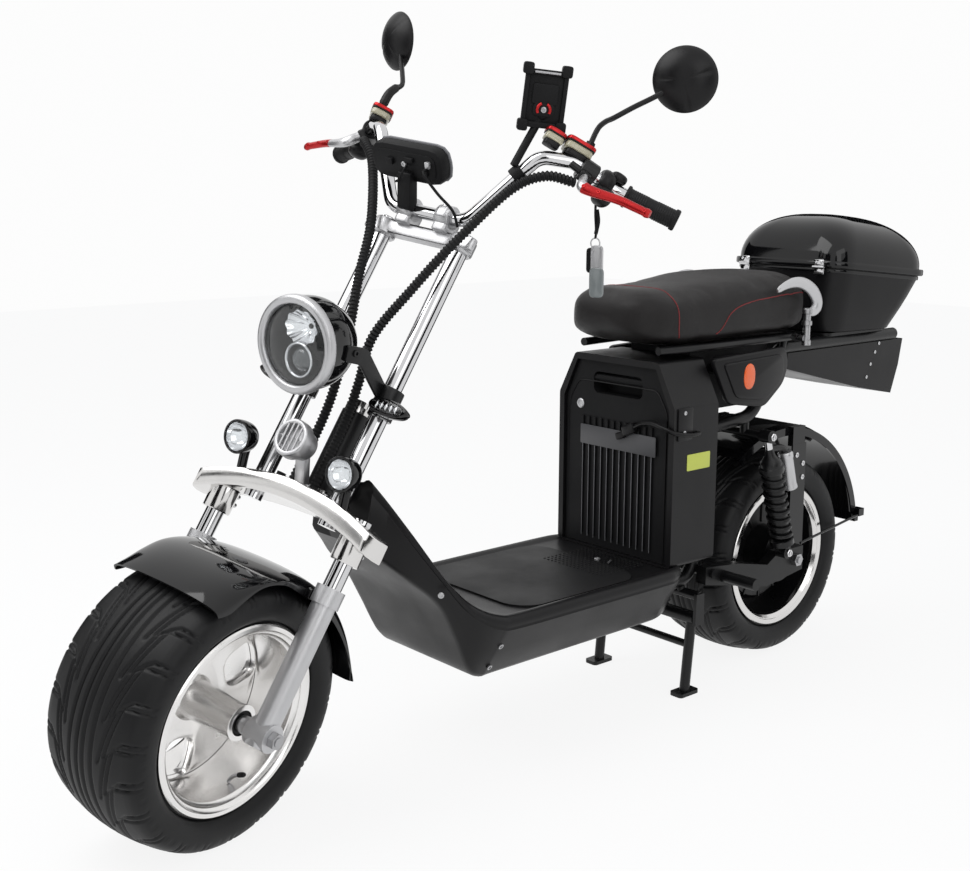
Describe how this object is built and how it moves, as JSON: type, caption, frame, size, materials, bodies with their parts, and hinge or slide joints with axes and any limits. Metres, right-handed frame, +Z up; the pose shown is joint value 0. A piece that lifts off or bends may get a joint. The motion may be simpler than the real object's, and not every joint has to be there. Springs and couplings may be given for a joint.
{
  "type": "electric motor scooter",
  "caption": "Electric motor scooter with fat tyres, raked fork, step-through deck, battery box, long seat and top case, on its centre stand.",
  "frame": {"origin": "on the floor, at the centre of the scooter's bounding box", "axes": "+X forward, +Y to the rider's left, +Z up"},
  "size_m": [2.1554, 0.7799, 1.4141],
  "materials": {
    "gloss_black": "high-gloss black moulding",
    "satin_black": "fine-grained satin black",
    "frame_black": "satin black powder coat",
    "chrome": "bright chrome plate",
    "polished": "machined and polished",
    "cast_alloy": "silver lacquered casting",
    "black_alloy": "satin black paint",
    "steel": "ground steel",
    "tyre": "moulded rubber",
    "grip": "moulded grip",
    "mat": "ribbed mat",
    "leather": "grained black cover",
    "clear": "clear moulded lens",
    "orange": "orange reflector",
    "red_lens": "red lens",
    "red_metal": "red anodised"
  },
  "bodies": {
    "chassis": {"frame": "frame_black", "deck_body": "satin_black", "deck_mat": "mat", "battery_housing": "satin_black", "battery_pack": "satin_black", "under_seat": "frame_black", "side_covers": "gloss_black", "side_reflectors": "orange", "seat": "leather", "grab_arms": "cast_alloy", "case_base": "satin_black", "tail_panel": "satin_black", "tail_lamp": "red_lens", "swingarm": "frame_black", "rear_axle_bolt": "steel", "shock_bodies": "frame_black", "shock_springs": "frame_black", "rear_fender": "gloss_black", "rear_pegs": "cast_alloy", "rear_caliper": "cast_alloy"},
    "steering": {"fork_lowers": "cast_alloy", "fork_tubes": "chrome", "front_axle": "steel", "lower_yoke": "chrome", "upper_yoke": "polished", "handlebar": "chrome", "grips": "grip", "bar_controls": "satin_black", "brake_levers": "red_metal", "mirrors": "satin_black", "headlight_shell": "gloss_black", "headlight_ring": "chrome", "lamp_lenses": "clear", "horn": "chrome", "fog_lamps": "satin_black", "turn_signals": "gloss_black", "front_fender": "gloss_black", "display": "gloss_black", "phone_holder": "satin_black", "cable_sleeves": "satin_black", "key_fobs": "satin_black", "front_caliper": "cast_alloy"},
    "front_wheel": {"front_tyre": "tyre", "front_rim": "polished", "front_disc": "steel"},
    "rear_wheel": {"rear_tyre": "tyre", "rear_rim": "black_alloy", "rear_disc": "steel", "hub_motor": "black_alloy"},
    "case_lid": {"case_lid": "gloss_black"},
    "stand": {"centre_stand": "frame_black"}
  },
  "joints": [
    {"name": "steering_turn", "type": "hinge", "parent": "chassis", "child": "steering", "pos_m": [0.79663, 0.00761, 0.21325], "axis": [-0.5388, 0, 0.8425], "range_deg": [-51.5, 18.5]},
    {"name": "front_wheel_spin", "type": "hinge", "parent": "steering", "child": "front_wheel", "pos_m": [0.83701, 0.02181, 0.23908], "axis": [-0.2393, 0.9588, -0.153], "continuous": true},
    {"name": "rear_wheel_spin", "type": "hinge", "parent": "chassis", "child": "rear_wheel", "pos_m": [-0.60925, 0.00761, 0.238], "axis": [0, 1, 0], "continuous": true},
    {"name": "stand_fold", "type": "hinge", "parent": "chassis", "child": "stand", "pos_m": [-0.27425, 0.00761, 0.168], "axis": [0, 1, 0], "range_deg": [0, 78]},
    {"name": "lid_open", "type": "hinge", "parent": "chassis", "child": "case_lid", "pos_m": [-0.70025, 0.00761, 0.8941], "axis": [0, 1, 0], "range_deg": [0, 75]}
  ]
}
